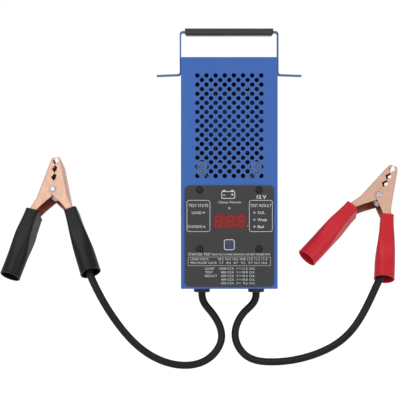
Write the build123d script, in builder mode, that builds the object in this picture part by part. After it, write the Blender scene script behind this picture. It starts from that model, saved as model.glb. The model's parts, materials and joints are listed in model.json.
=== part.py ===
from build123d import *
from math import cos, radians, sin, tan
import os

# Hand-held battery load tester: a folded steel case with a perforated upper half over the load,
# a label with display, lamps and a test key on the lower half, a strap handle, and two clamp leads.
#
# Frame: +X to the right and +Z up as the label is read, +Y towards the back.
# Origin: the centre of the case's flat back face. Millimetres.

os.makedirs("parts", exist_ok=True)

# ---------------------------------------------------------------- driving dimensions
SHEET = 1.5  # steel sheet of case, rear panel, strap and brackets
CASE_W = 106.0
CASE_H = 254.0
CASE_D = 64.0
BEND_R = 1.8  # outer radius of the case's folded edges
FLANGE_W = 11.0  # return flanges that carry the rear panel
FRONT_Y = -CASE_D
INNER_FRONT_Y = FRONT_Y + SHEET
MID_Y = -CASE_D / 2
INNER_X = CASE_W / 2 - SHEET

VENT_D = 5.0
VENT_PITCH = 10.0  # between holes in a row, and between rows of the same kind
VENT_TOP_Z = 106.8
LONG_ROWS = 12  # rows of eight holes, with rows of seven between them
LONG_ROW_HOLES = 8

REAR_SLOT_L = 15.0
REAR_SLOT_W = 2.6
REAR_SLOT_GAPS = (5.0, 3.4)  # beside and above each slot
REAR_SLOT_Z = 118.0  # above the load, clear of the front vents

PANEL_SCREW_D = 3.0
PANEL_SCREW_HEAD_D = 5.4
PANEL_SCREW_L = 6.0
PANEL_SCREW_X = CASE_W / 2 - 6.5
PANEL_SCREW_ZS = (-115.0, 0.0, 115.0)
PANEL_SCREW_POINTS = [(x, z) for x in (-PANEL_SCREW_X, PANEL_SCREW_X) for z in PANEL_SCREW_ZS]

STRAP_W = 25.0
STRAP_TOP_Z = 155.9  # middle of the strip's thickness
STRAP_BEND_R = 2.75
EAR_Z = 108.5
EAR_TIP_X = 80.0
EAR_DROOP = 1.0
HANDLE_SCREW_D = 4.0
HANDLE_SCREW_HEAD_D = 7.0
HANDLE_SCREW_L = 7.0
HANDLE_SCREW_RISE = 10.5  # above the ears
HANDLE_SCREW_POINTS = [(MID_Y + dy, EAR_Z + HANDLE_SCREW_RISE) for dy in (-6.5, 6.5)]
HANDLE_NUT_D = 8.1  # across corners
HANDLE_NUT_H = 3.0
GRIP_L = 97.4
GRIP_H = 7.5
GRIP_DROP = 0.1  # of the grip's middle below the strap's
GRIP_D = 29.0
GRIP_TOP_R = 2.0
GRIP_CORNER = 1.8

LABEL_W = 98.0
LABEL_H = 111.0
LABEL_T = 0.6
LABEL_R = 5.5
LABEL_Z = -69.1
LABEL_FRONT_Y = FRONT_Y - LABEL_T

WINDOW_W = 36.5
WINDOW_H = 16.2
WINDOW_R = 0.8
WINDOW_X = 0.5
WINDOW_Z = -52.8
DIGIT_PITCH = 12.7
DIGIT_H = 13.0
DIGIT_W = 7.6
DIGIT_SLANT = 8.0  # degrees
SEGMENT_W = 1.5
SEGMENT_GAP = 0.25

KEY_SIZE = 8.8
KEY_R = 1.2
KEY_Z = -78.6
KEY_PROUD = 1.1
KEY_TRAVEL = 0.5
KEY_GAP = 0.1
PLUNGER_D = 3.5
PLUNGER_FRONT_Y = -59.6
SWITCH_SIZE = 6.0
SWITCH_FRONT_Y = -57.5

SNAP_X = 32.4
SNAP_ZS = (-83.3, -18.6)
SNAP_POINTS = [(x, z) for x in (-SNAP_X, SNAP_X) for z in SNAP_ZS]
SNAP_HEAD_D = 8.0
SNAP_HEAD_H = 2.2
SNAP_SHANK_D = 4.0

LED_D = 3.0
LED_FLANGE_D = 3.8
LED_PLACES = {
    "reverse_led": (0.0, -38.5),
    "load_led": (-27.7, -43.5),
    "charging_led": (-27.4, -58.9),
    "ok_led": (27.5, -43.5),
    "weak_led": (27.5, -51.3),
    "bad_led": (27.5, -58.9),
}

BOARD_SIZE = 78.0
BOARD_T = 1.6
BOARD_Z = sum(SNAP_ZS) / 2
BOARD_FRONT_Y = -54.0
BOARD_BACK_Y = BOARD_FRONT_Y + BOARD_T
RELAY_SIZE = (28.0, 20.0, 16.0)  # across, up, deep
RELAY_Z = -74.0
CHIP_SIZE = (25.0, 7.0, 3.4)  # across, up, deep
CHIP_Z = -40.0
CHIP_PINS = 10

LEAD_X = 30.0  # grommets, ring terminals and load studs all stand this far from the centre
STUD_Z = 6.9
STUD_D = 6.0
STUD_NUT_D = 11.5  # across corners
RIBBON_T = 0.8
RIBBON_W = 10.0
RIBBON_PITCH = 10.0
RIBBON_TURNS_UP = 4  # bends over the upper pegs
RIBBON_TOP_Z = 90.0
RIBBON_LOW_Z = 28.0
RIBBON_END_Z = 2.0
RIBBON_Y = -39.0
PEG_D = 8.0
UPPER_BRACKET_Z = 99.5
LOWER_BRACKET_Z = 17.2
BRACKET_FRONT_Y = -54.0
BRACKET_BACK_Y = -30.0
BRACKET_TAB_H = 12.0
INSULATOR_T = 4.0
INSULATOR_W = 82.0
INSULATOR_SCREW_D = 3.0
SHIELD_Z = -8.5

GROMMET_D = 18.0
GROMMET_NECK_D = 14.0
GROMMET_H = 4.6
CABLE_D = 8.2
CORE_D = 5.0
LUG_Y = -45.75  # middle of the ring terminals
LUG_BARREL_D = 8.6
LUG_BARREL_ZS = (-16.0, -3.0)
CORE_TOP_Z = -5.5
JACKET_TOP_Z = -17.0

# Clamps: on a clamp's plane x runs across the jaws, y from the rivet to the tips, z out of its face.
CLAMP_SHEET = 1.2
CLAMP_W = 25.0  # over the fixed jaw's two walls
JAW_GAP = 0.1  # between a fixed wall and the moving wall inside it
PIVOT_D = 5.0
PIVOT_GAP = 0.05
PIVOT_HEAD_D = 7.2
PIVOT_HEAD_H = 1.5
PIVOT_LUG_R = 4.7
TOOTH_PITCH = 10.0
TOOTH_DEPTH = 3.8
NOTCH_START = 15.1
NOTCHES = 3
JAW_BEND_R = 2.0
ARM_ROOT = (21.3, -23.4)  # on the fixed side; the moving side mirrors it
ARM_W = 7.6
ARM_L = 26.0
FIXED_LEAN = 20.5
MOVING_LEAN = -15.3
TIP_Y = 39.6
TIP_XS = (1.3, 4.3)  # the tip's flat top, from the jaws' meeting line outward
TIP_INNER_R = 1.2
TIP_OUTER_R = 3.0
TIP_SHOULDER = (6.6, 34.6)
ELBOW = (18.2, -9.0)  # where the jaw's outer edge turns out to the arm
TIP_OPENING = 4.0  # the channel is cut on past the tip's flat top, so no web crosses it
# How far each grip is pushed on: its mouth's and its end's distance along the arm, from the arm's root.
NEGATIVE_GRIP_SPANS = {"fixed": (0.2, 77.4), "moving": (1.1, 79.1)}
POSITIVE_GRIP_SPANS = {"fixed": (-5.5, 67.0), "moving": (1.6, 79.7)}
GRIP_MOUTH_W = 14.0
GRIP_MOUTH_DEPTH = 28.8
GRIP_MOUTH_R = 3.2
SLEEVE_T = 1.5
SLEEVE_D = 22.6
SLEEVE_WIDENING = (0.0, 0.62)  # shares of the length between which a sleeve grows wide
SLEEVE_ROUNDING = (0.36, 0.86)  # and between which it grows thinner and round
SLEEVE_STATIONS = 9
SPRING_R = 5.9
SPRING_WIRE_D = 2.0
SPRING_PITCH = 2.3
SPRING_WHOLE_TURNS = 5
SPRING_LEG_LEAN = 45.0
SPRING_LEG_L = 15.0
CABLE_OFFSET = -1.3  # the core lies a little to the inner side of the arm's centre line
NEGATIVE_MOUTH_OFFSET = -1.3  # of the cable, where it leaves the sleeve
POSITIVE_MOUTH_OFFSET = -4.6
CRIMP_D = 6.4
CRIMP_SPAN = (11.0, 23.0)  # along the arm, from its root
JACKET_END = 38.0  # along the arm, from its root


def save(piece, name):
    """Label a finished piece and write it as its own STEP file."""
    piece.part.label = name
    export_step(piece.part, f"parts/{name}.step")


def facing_front(y):
    """Plane at depth y that faces the reader: its x is +X and its y is +Z."""
    return Plane(origin=(0, y, 0), x_dir=(1, 0, 0), z_dir=(0, -1, 0))


def facing(point, direction):
    """Plane at a point, facing a direction."""
    return Plane(origin=point, z_dir=direction)


# ---------------------------------------------------------------- fasteners
def add_countersunk_screw(seat, shank_d, head_d, length):
    """Add a slotted screw whose flush head lies on the seat plane."""
    head_h = (head_d - shank_d) / 2
    slot_w = shank_d / 5
    with Locations(seat.offset(-head_h)):
        Cone(shank_d / 2, head_d / 2, head_h, align=(Align.CENTER, Align.CENTER, Align.MIN))
        Cylinder(shank_d / 2, length - head_h, align=(Align.CENTER, Align.CENTER, Align.MAX))
    with Locations(seat):
        Box(head_d, slot_w, slot_w, mode=Mode.SUBTRACT)


def panel_screw_seats():
    """Planes of the rear panel's screw heads."""
    return [facing((x, 0, z), (0, 1, 0)) for x, z in PANEL_SCREW_POINTS]


def handle_screw_seats():
    """Planes of the handle's screw heads, on the strap's outer faces."""
    outer_x = CASE_W / 2 + SHEET
    return [
        facing((side * outer_x, y, z), (side, 0, 0))
        for side in (-1, 1)
        for y, z in HANDLE_SCREW_POINTS
    ]


# ---------------------------------------------------------------- case
def add_vents():
    """Sketch the staggered rows of round vents."""
    with Locations((0, VENT_TOP_Z - (LONG_ROWS - 1) * VENT_PITCH / 2)):
        with GridLocations(VENT_PITCH, VENT_PITCH, LONG_ROW_HOLES, LONG_ROWS):
            Circle(VENT_D / 2)
        with GridLocations(VENT_PITCH, VENT_PITCH, LONG_ROW_HOLES - 1, LONG_ROWS - 1):
            Circle(VENT_D / 2)


def add_front_openings():
    """Sketch the openings that the case and the label over it share."""
    key_opening = KEY_SIZE + 2 * KEY_GAP
    with Locations((WINDOW_X, WINDOW_Z)):
        RectangleRounded(WINDOW_W, WINDOW_H, WINDOW_R)
    with Locations((0, KEY_Z)):
        RectangleRounded(key_opening, key_opening, KEY_R)
    with Locations(*LED_PLACES.values()):
        Circle(LED_D / 2 + 0.1)
    with Locations(*SNAP_POINTS):
        Circle(SNAP_SHANK_D / 2 + 0.1)


with BuildPart() as front_shell:
    with BuildSketch(facing_front(-SHEET)):
        Rectangle(CASE_W, CASE_H)
    extrude(amount=CASE_D - SHEET)
    fillet(front_shell.faces().sort_by(Axis.Y)[0].edges(), radius=BEND_R)
    offset(amount=-SHEET, openings=front_shell.faces().sort_by(Axis.Y)[-1])
    with BuildSketch(facing_front(-SHEET)):
        with Locations(*[(side * (CASE_W - FLANGE_W) / 2, 0) for side in (-1, 1)]):
            Rectangle(FLANGE_W, CASE_H - SHEET)
        with Locations(*PANEL_SCREW_POINTS):
            Circle(PANEL_SCREW_D / 2 + 0.05, mode=Mode.SUBTRACT)
    extrude(amount=SHEET)
    with BuildSketch(facing_front(INNER_FRONT_Y)):
        add_vents()
        add_front_openings()
    extrude(amount=SHEET, mode=Mode.SUBTRACT)
    with BuildSketch(Plane.XY.offset(-CASE_H / 2)):
        with Locations((-LEAD_X, MID_Y), (LEAD_X, MID_Y)):
            Circle(GROMMET_NECK_D / 2 + 0.1)
    extrude(amount=SHEET, mode=Mode.SUBTRACT)
    with BuildSketch(Plane.YZ):
        with Locations(*HANDLE_SCREW_POINTS):
            Circle(HANDLE_SCREW_D / 2 + 0.1)
    extrude(amount=CASE_W, both=True, mode=Mode.SUBTRACT)
save(front_shell, "front_shell")

with BuildPart() as rear_panel:
    with BuildSketch(facing_front(-SHEET)):
        RectangleRounded(CASE_W, CASE_H, BEND_R)
    extrude(amount=-SHEET)
    with BuildSketch(facing_front(-SHEET)):
        with Locations((0, REAR_SLOT_Z)):
            with GridLocations(REAR_SLOT_L + REAR_SLOT_GAPS[0], REAR_SLOT_W + REAR_SLOT_GAPS[1], 4, 2):
                SlotOverall(REAR_SLOT_L, REAR_SLOT_W)
    extrude(amount=-SHEET, mode=Mode.SUBTRACT)
    with Locations(*panel_screw_seats()):
        CounterSinkHole(PANEL_SCREW_D / 2, PANEL_SCREW_HEAD_D / 2, SHEET, 90)
save(rear_panel, "rear_panel")

with BuildPart() as rear_panel_screws:
    for seat in panel_screw_seats():
        add_countersunk_screw(seat, PANEL_SCREW_D, PANEL_SCREW_HEAD_D, PANEL_SCREW_L)
save(rear_panel_screws, "rear_panel_screws")


# ---------------------------------------------------------------- handle
STRAP_X = (CASE_W + SHEET) / 2  # middle of the strip's thickness beside the case

with BuildPart() as handle_strap:
    with BuildSketch(facing_front(MID_Y)):
        with BuildLine():
            FilletPolyline(
                (-EAR_TIP_X, EAR_Z - EAR_DROOP),
                (-STRAP_X, EAR_Z),
                (-STRAP_X, STRAP_TOP_Z),
                (STRAP_X, STRAP_TOP_Z),
                (STRAP_X, EAR_Z),
                (EAR_TIP_X, EAR_Z - EAR_DROOP),
                radius=STRAP_BEND_R,
            )
        trace(line_width=SHEET)
    extrude(amount=STRAP_W / 2, both=True)
    with Locations(*handle_screw_seats()):
        CounterSinkHole(HANDLE_SCREW_D / 2, HANDLE_SCREW_HEAD_D / 2, SHEET, 90)
save(handle_strap, "handle_strap")

with BuildPart() as handle_grip:
    with BuildSketch(facing_front(MID_Y)) as grip_side:
        with Locations((0, STRAP_TOP_Z - GRIP_DROP)):
            Rectangle(GRIP_L, GRIP_H)
        chamfer(grip_side.vertices().group_by(Axis.Y)[0], length=GRIP_CORNER)
    extrude(amount=GRIP_D / 2, both=True)
    fillet(handle_grip.edges().filter_by(Axis.X), radius=GRIP_TOP_R)
    with BuildSketch(Plane.YZ):
        with Locations((MID_Y, STRAP_TOP_Z)):
            Rectangle(STRAP_W + 0.1, SHEET + 0.1)
    extrude(amount=GRIP_L, both=True, mode=Mode.SUBTRACT)
save(handle_grip, "handle_grip")

with BuildPart() as handle_screws:
    for seat in handle_screw_seats():
        add_countersunk_screw(seat, HANDLE_SCREW_D, HANDLE_SCREW_HEAD_D, HANDLE_SCREW_L)
save(handle_screws, "handle_screws")

with BuildPart() as handle_nuts:
    for side in (-1, 1):
        with BuildSketch(Plane(origin=(side * INNER_X, 0, 0), x_dir=(0, 1, 0), z_dir=(1, 0, 0))):
            with Locations(*HANDLE_SCREW_POINTS):
                RegularPolygon(HANDLE_NUT_D / 2, 6)
                Circle(HANDLE_SCREW_D / 2 + 0.02, mode=Mode.SUBTRACT)
        extrude(amount=-side * HANDLE_NUT_H)
save(handle_nuts, "handle_nuts")


# ---------------------------------------------------------------- label and controls
with BuildPart() as overlay_plate:
    with BuildSketch(facing_front(FRONT_Y)):
        with Locations((0, LABEL_Z)):
            RectangleRounded(LABEL_W, LABEL_H, LABEL_R)
    extrude(amount=LABEL_T)
    with BuildSketch(facing_front(FRONT_Y)):
        add_front_openings()
    extrude(amount=LABEL_T, mode=Mode.SUBTRACT)
save(overlay_plate, "overlay_plate")

with BuildPart() as display_window:
    with BuildSketch(facing_front(INNER_FRONT_Y)):
        with Locations((WINDOW_X, WINDOW_Z)):
            RectangleRounded(WINDOW_W - 0.1, WINDOW_H - 0.1, WINDOW_R)
    extrude(amount=SHEET + LABEL_T / 2)
save(display_window, "display_window")

KEY_FLANGE_FRONT_Y = INNER_FRONT_Y + 0.1
KEY_STEM_D = 5.0

with BuildPart() as test_button:
    with BuildSketch(facing_front(KEY_FLANGE_FRONT_Y)):
        with Locations((0, KEY_Z)):
            RectangleRounded(KEY_SIZE, KEY_SIZE, KEY_R)
    extrude(amount=KEY_FLANGE_FRONT_Y - LABEL_FRONT_Y + KEY_PROUD)
    fillet(test_button.faces().sort_by(Axis.Y)[0].edges(), radius=0.5)
    with BuildSketch(facing_front(KEY_FLANGE_FRONT_Y)):
        with Locations((0, KEY_Z)):
            RectangleRounded(KEY_SIZE + 2.4, KEY_SIZE + 2.4, KEY_R)
    extrude(amount=-1.0)
    with BuildSketch(facing_front(KEY_FLANGE_FRONT_Y)):
        with Locations((0, KEY_Z)):
            Circle(KEY_STEM_D / 2)
    extrude(amount=KEY_FLANGE_FRONT_Y - PLUNGER_FRONT_Y)
save(test_button, "test_button")

with BuildPart() as switch_plunger:
    with Locations(facing((0, PLUNGER_FRONT_Y, KEY_Z), (0, 1, 0))):
        Cylinder(PLUNGER_D / 2, 3.6, align=(Align.CENTER, Align.CENTER, Align.MIN))
save(switch_plunger, "switch_plunger")

with BuildPart() as tact_switch:
    with BuildSketch(facing_front(BOARD_FRONT_Y)):
        with Locations((0, KEY_Z)):
            RectangleRounded(SWITCH_SIZE, SWITCH_SIZE, 0.3)
    extrude(amount=BOARD_FRONT_Y - SWITCH_FRONT_Y)
    with Locations(facing((0, SWITCH_FRONT_Y, KEY_Z), (0, -1, 0))):
        Hole(PLUNGER_D / 2 + KEY_GAP, depth=2.6)
save(tact_switch, "tact_switch")

SNAP_TAIL_Y = BOARD_BACK_Y + 1.6

with BuildPart() as snap_rivets:
    for x, z in SNAP_POINTS:
        with BuildSketch(Plane(origin=(x, LABEL_FRONT_Y, z), x_dir=(1, 0, 0), z_dir=(0, 0, 1))):
            with BuildLine():
                dome = ThreePointArc(
                    (0, -SNAP_HEAD_H),
                    (SNAP_HEAD_D * 0.31, -SNAP_HEAD_H * 0.72),
                    (SNAP_HEAD_D / 2, 0),
                )
                tail = SNAP_TAIL_Y - LABEL_FRONT_Y
                shank = SNAP_SHANK_D / 2
                Polyline(dome @ 1, (shank, 0), (shank, tail - 1), (shank * 0.6, tail), (0, tail), dome @ 0)
            make_face()
        revolve(axis=Axis((x, 0, z), (0, 1, 0)))
save(snap_rivets, "snap_rivets")

for led_name, (led_x, led_z) in LED_PLACES.items():
    with BuildPart() as led:
        with Locations(facing((led_x, BOARD_FRONT_Y, led_z), (0, -1, 0))):
            Cylinder(LED_FLANGE_D / 2, 1.0, align=(Align.CENTER, Align.CENTER, Align.MIN))
            body_l = BOARD_FRONT_Y - LABEL_FRONT_Y - 0.9
            Cylinder(LED_D / 2, body_l, align=(Align.CENTER, Align.CENTER, Align.MIN))
            with Locations((0, 0, body_l)):
                Sphere(LED_D / 2, arc_size1=0)
    save(led, led_name)


# ---------------------------------------------------------------- circuit board
with BuildPart() as circuit_board:
    with BuildSketch(facing_front(BOARD_FRONT_Y)):
        with Locations((0, BOARD_Z)):
            RectangleRounded(BOARD_SIZE, BOARD_SIZE, 1.5)
        with Locations(*SNAP_POINTS):
            Circle(SNAP_SHANK_D / 2 + 0.1, mode=Mode.SUBTRACT)
    extrude(amount=-BOARD_T)
save(circuit_board, "circuit_board")

with BuildPart() as board_spacers:
    with BuildSketch(facing_front(INNER_FRONT_Y)):
        with Locations(*SNAP_POINTS):
            Circle(SNAP_SHANK_D / 2 + 1.5)
            Circle(SNAP_SHANK_D / 2 + 0.2, mode=Mode.SUBTRACT)
    extrude(amount=INNER_FRONT_Y - BOARD_FRONT_Y)
save(board_spacers, "board_spacers")

MODULE_FRONT_Y = INNER_FRONT_Y + 0.9

with BuildPart() as display_module:
    with BuildSketch(facing_front(BOARD_FRONT_Y)):
        with Locations((WINDOW_X, WINDOW_Z)):
            Rectangle(3 * DIGIT_PITCH - 0.6, WINDOW_H + 2.8)
    extrude(amount=BOARD_FRONT_Y - MODULE_FRONT_Y)
save(display_module, "display_module")


def slanted_bar(x, z, length, upright):
    """Outline of one pointed segment bar, with the digit's slant applied."""
    half_l = length / 2
    half_w = SEGMENT_W / 2
    outline = [
        (-half_l, 0),
        (half_w - half_l, half_w),
        (half_l - half_w, half_w),
        (half_l, 0),
        (half_l - half_w, -half_w),
        (half_w - half_l, -half_w),
    ]
    placed = [(x + dz, z + dx) if upright else (x + dx, z + dz) for dx, dz in outline]
    return [(px + pz * tan(radians(DIGIT_SLANT)), pz) for px, pz in placed]


def digit_bars():
    """Outlines of the seven bars of one digit, about its centre."""
    span_x = (DIGIT_W - SEGMENT_W) / 2
    span_z = (DIGIT_H - SEGMENT_W) / 2
    bars = [slanted_bar(0, z, 2 * span_x - SEGMENT_GAP, False) for z in (-span_z, 0, span_z)]
    for x in (-span_x, span_x):
        for z in (-span_z / 2, span_z / 2):
            bars.append(slanted_bar(x, z, span_z - SEGMENT_GAP, True))
    return bars


with BuildPart() as display_digits:
    with BuildSketch(facing_front(MODULE_FRONT_Y)):
        with Locations(*[(WINDOW_X + i * DIGIT_PITCH, WINDOW_Z) for i in (-1, 0, 1)]):
            for bar in digit_bars():
                Polygon(*bar, align=None)
    extrude(amount=0.4)
save(display_digits, "display_digits")

with BuildPart() as controller_chip:
    with BuildSketch(facing_front(BOARD_BACK_Y + 0.5)):
        with Locations((0, CHIP_Z)):
            Rectangle(CHIP_SIZE[0], CHIP_SIZE[1])
    extrude(amount=-CHIP_SIZE[2])
    with BuildSketch(facing_front(BOARD_BACK_Y)):
        with Locations((0, CHIP_Z)):
            with GridLocations(CHIP_SIZE[0] / CHIP_PINS, CHIP_SIZE[1] + 0.4, CHIP_PINS, 2):
                Rectangle(0.6, 0.8)
    extrude(amount=-2.2)
save(controller_chip, "controller_chip")

with BuildPart() as load_relay:
    with BuildSketch(facing_front(BOARD_BACK_Y)):
        with Locations((0, RELAY_Z)):
            RectangleRounded(RELAY_SIZE[0], RELAY_SIZE[1], 1.0)
    extrude(amount=-RELAY_SIZE[2])
    fillet(load_relay.faces().sort_by(Axis.Y)[-1].edges(), radius=0.8)
save(load_relay, "load_relay")


# ---------------------------------------------------------------- load
RIBBON_RUNS = 2 * RIBBON_TURNS_UP
RUN_XS = [(i - (RIBBON_RUNS - 1) / 2) * RIBBON_PITCH for i in range(RIBBON_RUNS)]
BRACKET_X = INNER_X
PEG_BACK_Y = BRACKET_BACK_Y + SHEET
UPPER_INSULATOR_ZS = (82.0, UPPER_BRACKET_Z)
LOWER_INSULATOR_ZS = (-2.0, 36.0)
UPPER_SCREW_POINTS = [(-20.0, 96.4), (20.0, 96.4)]
LOWER_SCREW_POINTS = [(-10.0, 9.0), (10.0, 9.0)]


def ribbon_path():
    """Draw the ribbon's zigzag centre line, seen from the front."""
    bend = RIBBON_PITCH / 2
    for i in range(RIBBON_RUNS):
        low = RIBBON_END_Z if i in (0, RIBBON_RUNS - 1) else RIBBON_LOW_Z
        Line((RUN_XS[i], low), (RUN_XS[i], RIBBON_TOP_Z))
        if i % 2 == 0:
            CenterArc((RUN_XS[i] + bend, RIBBON_TOP_Z), bend, 0, 180)
        elif i < RIBBON_RUNS - 1:
            CenterArc((RUN_XS[i] + bend, RIBBON_LOW_Z), bend, 180, 180)


with BuildPart() as load_ribbon:
    with BuildSketch(facing_front(RIBBON_Y)):
        with BuildLine():
            ribbon_path()
        trace(line_width=RIBBON_T)
    extrude(amount=RIBBON_W / 2, both=True)
save(load_ribbon, "load_ribbon")

TAB_FRONT_Y = LUG_Y + 0.75
STUD_POINTS = [(-LEAD_X, STUD_Z), (LEAD_X, STUD_Z)]

with BuildPart() as ribbon_tabs:
    for side in (-1, 1):
        outer_x = side * (abs(RUN_XS[0]) + RIBBON_T / 2 + 1.0)
        outward = (Align.MAX if side > 0 else Align.MIN, Align.CENTER)
        with BuildSketch(facing_front(TAB_FRONT_Y)):
            with Locations((outer_x, STUD_Z)):
                Rectangle(12.0, 9.0, align=outward)
            with Locations((side * LEAD_X, STUD_Z)):
                Circle(STUD_D / 2 + 0.1, mode=Mode.SUBTRACT)
        extrude(amount=-1.0)
        with BuildSketch(facing_front(TAB_FRONT_Y)):
            with Locations((outer_x, STUD_Z)):
                Rectangle(1.0, 9.0, align=outward)
        extrude(amount=-9.0)
save(ribbon_tabs, "ribbon_tabs")

with BuildPart() as upper_bracket:
    with BuildSketch(Plane.XY.offset(UPPER_BRACKET_Z)):
        with Locations((0, (BRACKET_FRONT_Y + PEG_BACK_Y) / 2)):
            Rectangle(2 * BRACKET_X, PEG_BACK_Y - BRACKET_FRONT_Y)
    extrude(amount=SHEET)
    with BuildSketch(facing_front(BRACKET_BACK_Y)):
        with Locations((0, UPPER_BRACKET_Z + SHEET)):
            Rectangle(2 * BRACKET_X, 6.9, align=(Align.CENTER, Align.MAX))
        with Locations(*UPPER_SCREW_POINTS):
            Circle(INSULATOR_SCREW_D / 2 + 0.1, mode=Mode.SUBTRACT)
    extrude(amount=-SHEET)
    with BuildSketch(Plane.YZ.offset(-BRACKET_X)):
        with Locations((BRACKET_FRONT_Y, UPPER_BRACKET_Z)):
            Rectangle(16.0, BRACKET_TAB_H, align=Align.MIN)
    extrude(amount=SHEET)
    mirror(about=Plane.YZ)
save(upper_bracket, "upper_bracket")

with BuildPart() as lower_bracket:
    with BuildSketch(Plane.XY.offset(LOWER_BRACKET_Z)):
        with Locations((0, (BRACKET_FRONT_Y + PEG_BACK_Y) / 2)):
            Rectangle(2 * BRACKET_X, PEG_BACK_Y - BRACKET_FRONT_Y)
        with Locations((RUN_XS[0], RIBBON_Y), (RUN_XS[-1], RIBBON_Y)):
            Rectangle(5.0, RIBBON_W + 3.0, mode=Mode.SUBTRACT)
    extrude(amount=SHEET)
    with BuildSketch(facing_front(BRACKET_BACK_Y)):
        with Locations((0, LOWER_BRACKET_Z + SHEET)):
            Rectangle(2 * BRACKET_X, 18.0, align=(Align.CENTER, Align.MAX))
        with Locations(*STUD_POINTS):
            Circle(STUD_D, mode=Mode.SUBTRACT)
        with Locations(*LOWER_SCREW_POINTS):
            Circle(INSULATOR_SCREW_D / 2 + 0.1, mode=Mode.SUBTRACT)
    extrude(amount=-SHEET)
    with BuildSketch(Plane.YZ.offset(-BRACKET_X)):
        with Locations((BRACKET_FRONT_Y, LOWER_BRACKET_Z + SHEET)):
            Rectangle(16.0, BRACKET_TAB_H, align=(Align.MIN, Align.MAX))
    extrude(amount=SHEET)
    mirror(about=Plane.YZ)
save(lower_bracket, "lower_bracket")


def build_insulator(low_z, high_z, holes, peg_xs, peg_z):
    """Build an insulating board with holes, and pegs that the ribbon's bends hang on."""
    with BuildPart() as insulator:
        with BuildSketch(facing_front(PEG_BACK_Y)):
            with Locations((0, (low_z + high_z) / 2)):
                Rectangle(INSULATOR_W, high_z - low_z)
            for points, hole_d in holes:
                with Locations(*points):
                    Circle(hole_d / 2 + 0.1, mode=Mode.SUBTRACT)
        extrude(amount=-INSULATOR_T)
        with BuildSketch(facing_front(PEG_BACK_Y)):
            with Locations(*[(x, peg_z) for x in peg_xs]):
                Circle(PEG_D / 2)
        extrude(amount=PEG_BACK_Y - RIBBON_Y + RIBBON_W / 2 + 1.5)
    return insulator


upper_insulator = build_insulator(
    *UPPER_INSULATOR_ZS,
    holes=[(UPPER_SCREW_POINTS, INSULATOR_SCREW_D)],
    peg_xs=[x + RIBBON_PITCH / 2 for x in RUN_XS[0::2]],
    peg_z=RIBBON_TOP_Z,
)
save(upper_insulator, "upper_insulator")

lower_insulator = build_insulator(
    *LOWER_INSULATOR_ZS,
    holes=[(LOWER_SCREW_POINTS, INSULATOR_SCREW_D), (STUD_POINTS, STUD_D)],
    peg_xs=[x + RIBBON_PITCH / 2 for x in RUN_XS[1:-1:2]],
    peg_z=RIBBON_LOW_Z,
)
save(lower_insulator, "lower_insulator")

with BuildPart() as insulator_screws:
    for x, z in UPPER_SCREW_POINTS + LOWER_SCREW_POINTS:
        with Locations(facing((x, BRACKET_BACK_Y, z), (0, -1, 0))):
            Cylinder(2.75, 1.6, align=(Align.CENTER, Align.CENTER, Align.MIN))
            Cylinder(
                INSULATOR_SCREW_D / 2, 7.5, align=(Align.CENTER, Align.CENTER, Align.MAX)
            )
save(insulator_screws, "insulator_screws")

STUD_HEAD_Y = PEG_BACK_Y + INSULATOR_T
LUG_FRONT_Y = LUG_Y - 0.75
NUT_H = 5.0

with BuildPart() as load_studs:
    with BuildSketch(facing_front(STUD_HEAD_Y)):
        with Locations(*STUD_POINTS):
            RegularPolygon(STUD_NUT_D / 2, 6)
    extrude(amount=-4.0)
    with BuildSketch(facing_front(STUD_HEAD_Y)):
        with Locations(*STUD_POINTS):
            Circle(STUD_D / 2)
    extrude(amount=STUD_HEAD_Y - LUG_FRONT_Y + NUT_H + 2.0)
    chamfer(load_studs.faces().filter_by(Axis.Y).sort_by(Axis.Y)[:2].edges(), length=0.7)
save(load_studs, "load_studs")

with BuildPart() as load_nuts:
    with BuildSketch(facing_front(LUG_FRONT_Y)):
        with Locations(*STUD_POINTS):
            RegularPolygon(STUD_NUT_D / 2, 6)
            Circle(STUD_D / 2 + 0.02, mode=Mode.SUBTRACT)
    extrude(amount=NUT_H)
save(load_nuts, "load_nuts")

with BuildPart() as stud_sleeves:
    with BuildSketch(facing_front(PEG_BACK_Y)):
        with Locations(*STUD_POINTS):
            Circle(STUD_D / 2 + 1.2)
            Circle(STUD_D / 2 + 0.1, mode=Mode.SUBTRACT)
    extrude(amount=PEG_BACK_Y - TAB_FRONT_Y - 1.0)
save(stud_sleeves, "stud_sleeves")

with BuildPart() as heat_shield:
    with BuildSketch(Plane.XY.offset(SHIELD_Z)):
        with Locations((0, (INNER_FRONT_Y - 2 * SHEET) / 2)):
            Rectangle(2 * INNER_X, -INNER_FRONT_Y - 2 * SHEET - 0.2)
        with Locations((-LEAD_X + 2, LUG_Y), (LEAD_X - 2, LUG_Y)):
            RectangleRounded(20.0, 12.0, 3.0, mode=Mode.SUBTRACT)
    extrude(amount=1.0)
save(heat_shield, "heat_shield")

SENSE_WIRE_D = 1.4

with BuildPart() as sense_wires:
    for side in (-1, 1):
        with BuildLine() as route:
            Spline(
                (side * 22, BOARD_BACK_Y, -24),
                (side * 22, LUG_FRONT_Y - 2.5, SHIELD_Z),
                (side * 27, LUG_FRONT_Y, -1),
                tangents=((0, 1, 0), (0, 1, 0)),
            )
        with BuildSketch(Plane(origin=route.line @ 0, z_dir=route.line % 0)):
            Circle(SENSE_WIRE_D / 2)
        sweep(path=route.line)
save(sense_wires, "sense_wires")


# ---------------------------------------------------------------- clamps
def clamp_plane(pivot, lean, turn, spin):
    """Clamp's middle plane: tips lean back by lean, its face turns about Z, and it spins clockwise."""
    across = Vector(1, 0, 0).rotate(Axis.Z, turn)
    outward = Vector(0, -1, 0).rotate(Axis.X, -lean).rotate(Axis.Z, turn)
    across = across.rotate(Axis((0, 0, 0), outward), -spin)
    return Plane(origin=pivot, x_dir=across, z_dir=outward)


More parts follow.
